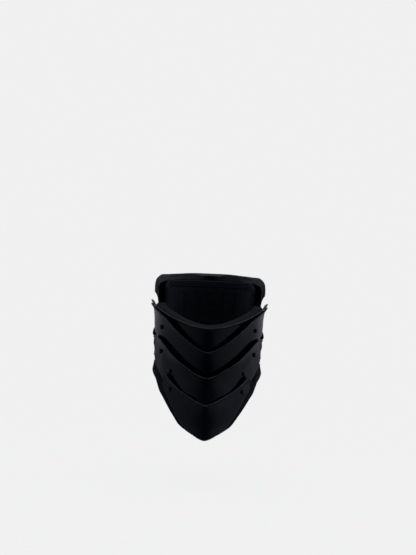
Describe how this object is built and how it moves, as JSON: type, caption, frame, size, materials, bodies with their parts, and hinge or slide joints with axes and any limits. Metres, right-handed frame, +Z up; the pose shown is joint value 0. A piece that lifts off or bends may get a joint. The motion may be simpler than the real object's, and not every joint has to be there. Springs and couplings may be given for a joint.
{
  "type": "steel gorget",
  "caption": "Black articulated steel gorget: overlapping throat and nape lames on a padded lining, worn round the neck.",
  "frame": {"origin": "middle of the neck hollow, level with where the gorget sits on the shoulders, held by a wearer's neck", "axes": "+Z up, the wearer looks along -Y, +X is the wearer's left; the left and right halves mirror in X = 0"},
  "size_m": [0.1398, 0.192, 0.1921],
  "materials": {
    "black_steel": "satin black coated steel",
    "lining": "matte dark grey padded cloth",
    "strap": "matte black leather",
    "rivet": "semi-gloss black domed rivets"
  },
  "bodies": {
    "root": {"throat_lame_1": "black_steel", "throat_lame_2": "black_steel", "throat_lame_3": "black_steel", "throat_lame_4": "black_steel", "nape_lame_1": "black_steel", "nape_lame_2": "black_steel", "nape_lame_3": "black_steel", "throat_lining": "lining", "nape_lining": "lining", "side_strap_left": "strap", "side_strap_right": "strap", "throat_rivet_1_left": "rivet", "throat_rivet_1_right": "rivet", "throat_rivet_2_left": "rivet", "throat_rivet_2_right": "rivet", "throat_rivet_3_left": "rivet", "throat_rivet_3_right": "rivet", "throat_rivet_4_left": "rivet", "throat_rivet_4_right": "rivet", "strap_rivet_front_left": "rivet", "strap_rivet_front_right": "rivet", "strap_rivet_back_left": "rivet", "strap_rivet_back_right": "rivet", "nape_rivet_1_left": "rivet", "nape_rivet_1_right": "rivet", "nape_rivet_2_left": "rivet", "nape_rivet_2_right": "rivet"}
  },
  "joints": []
}
